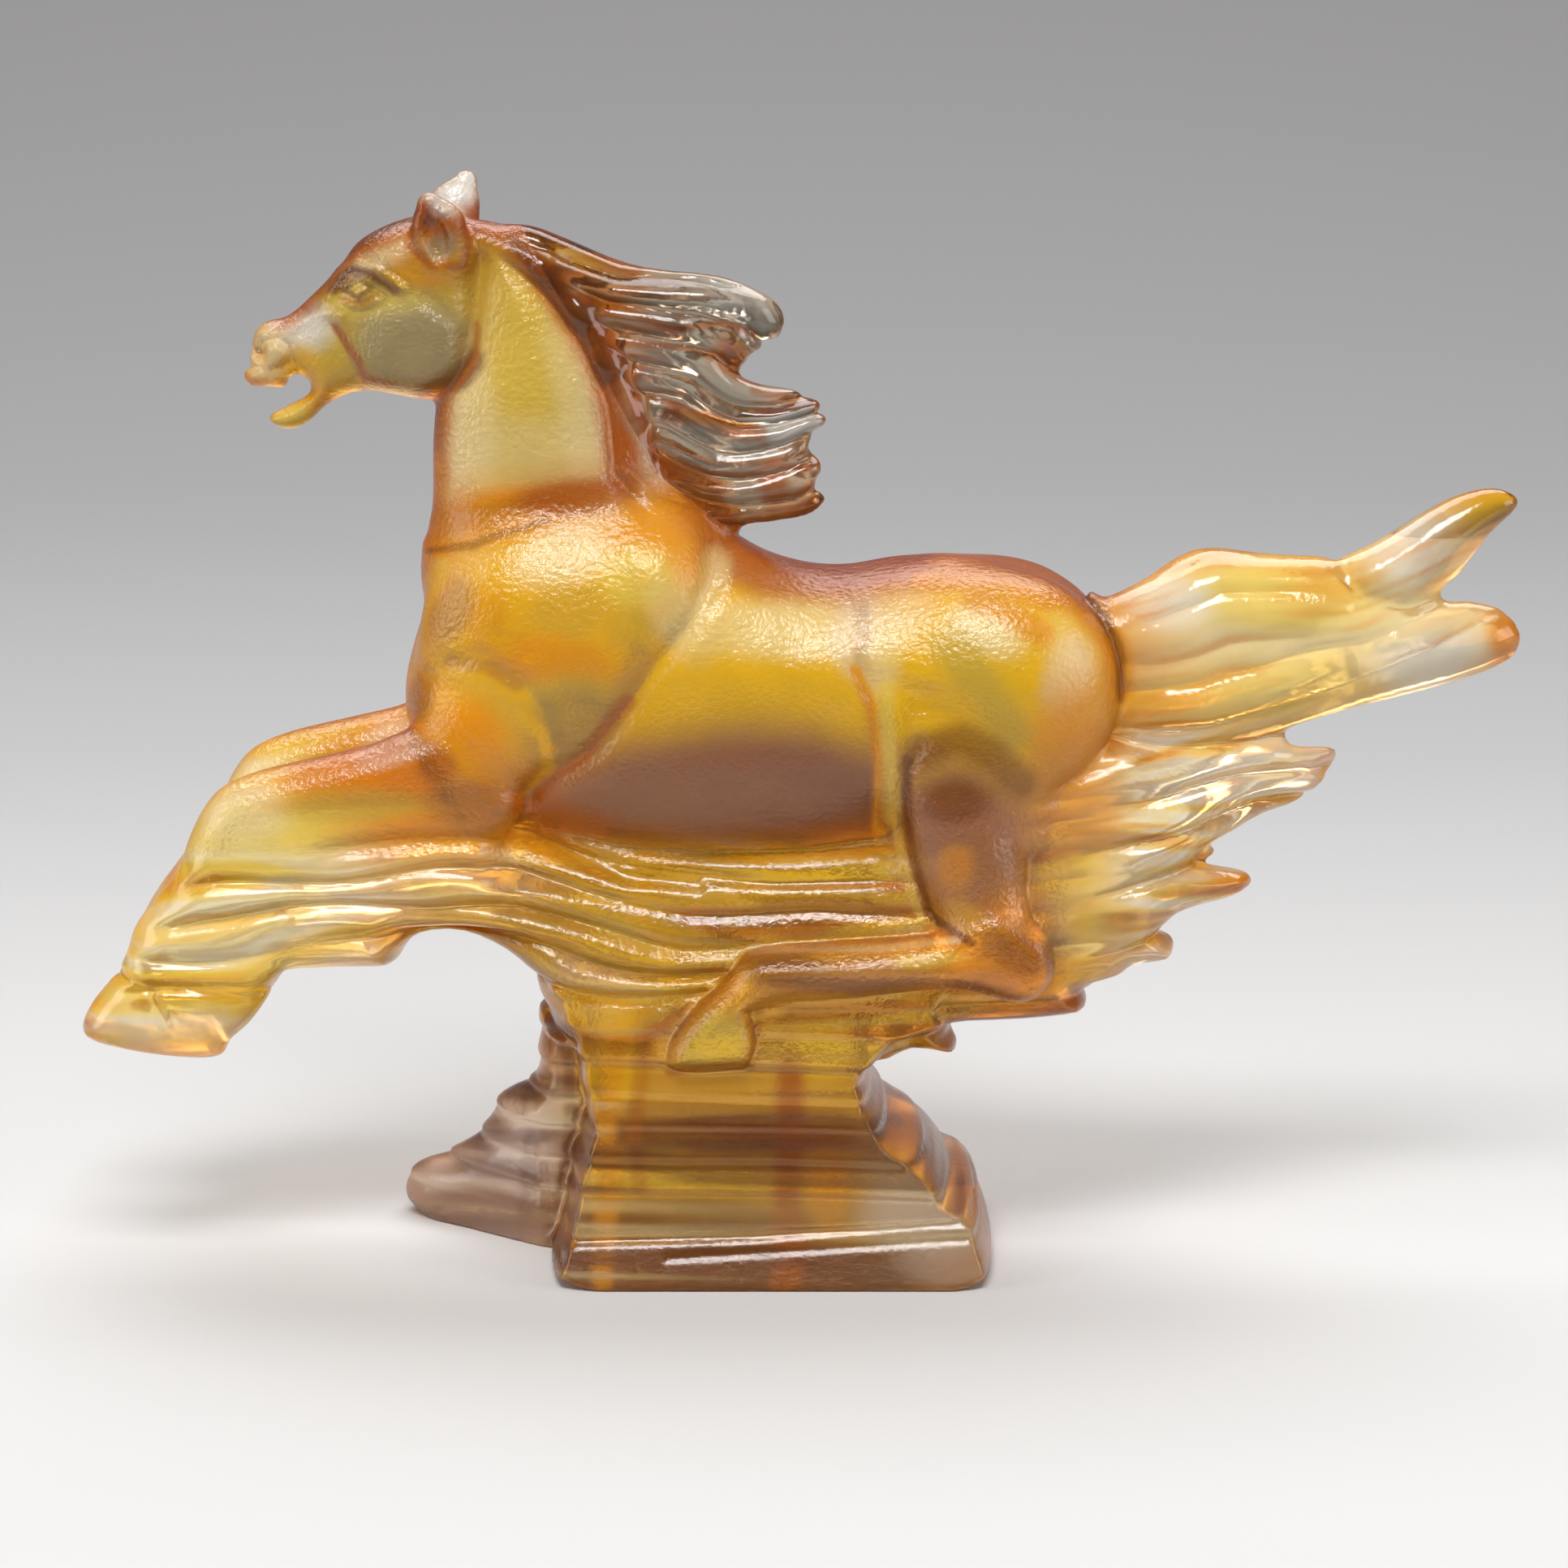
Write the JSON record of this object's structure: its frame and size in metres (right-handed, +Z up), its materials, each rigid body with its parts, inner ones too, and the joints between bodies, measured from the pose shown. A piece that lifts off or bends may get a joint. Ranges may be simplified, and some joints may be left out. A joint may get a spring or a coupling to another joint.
{
  "type": "crystal glass figurine",
  "caption": "Cast-glass figurine of a galloping horse with streaming mane and tail, carried on a breaking wave above a stepped rock pedestal.",
  "frame": {"origin": "middle of the overall box, on the table plane under the plinth", "axes": "+Z up, -X the way the horse gallops, -Y its near side, which faces the viewer"},
  "size_m": [0.2808, 0.072, 0.2131],
  "materials": {
    "satin_amber_glass": "satin, with a fine casting grain; cream to amber to orange-brown clouds in the glass",
    "clear_mane_glass": "glossier than the body, nearly clear, with thin brown edges",
    "clear_gold_glass": "semi-gloss, nearly clear pale yellow, with orange tips",
    "streaked_wave_glass": "semi-gloss, golden with brown and orange streaks along the flow",
    "mauve_rock_glass": "satin, mauve-brown to gold, with soft upright bands"
  },
  "bodies": {
    "root": {"barrel": "satin_amber_glass", "hindquarters": "satin_amber_glass", "forequarters": "satin_amber_glass", "neck": "satin_amber_glass", "head": "satin_amber_glass", "lower_jaw": "satin_amber_glass", "near_ear": "satin_amber_glass", "off_ear": "satin_amber_glass", "near_forearm": "satin_amber_glass", "near_gaskin": "satin_amber_glass", "near_hind_cannon": "satin_amber_glass", "near_hind_hoof": "satin_amber_glass", "off_forearm": "satin_amber_glass", "off_gaskin": "satin_amber_glass", "off_hind_cannon": "satin_amber_glass", "off_hind_hoof": "satin_amber_glass", "mane_upper_lock": "clear_mane_glass", "mane_lower_lock": "clear_mane_glass", "tail_upper_plume": "clear_gold_glass", "tail_lower_plume": "clear_gold_glass", "wave_upper_spray": "clear_gold_glass", "wave_lower_spray": "clear_gold_glass", "near_fore_cannon": "clear_gold_glass", "off_fore_cannon": "clear_gold_glass", "near_fore_hoof": "clear_gold_glass", "off_fore_hoof": "clear_gold_glass", "wave_prow": "clear_gold_glass", "wave_middle": "streaked_wave_glass", "pedestal_rock_face": "mauve_rock_glass", "pedestal_wing": "mauve_rock_glass", "pedestal_plinth": "mauve_rock_glass"}
  },
  "joints": []
}
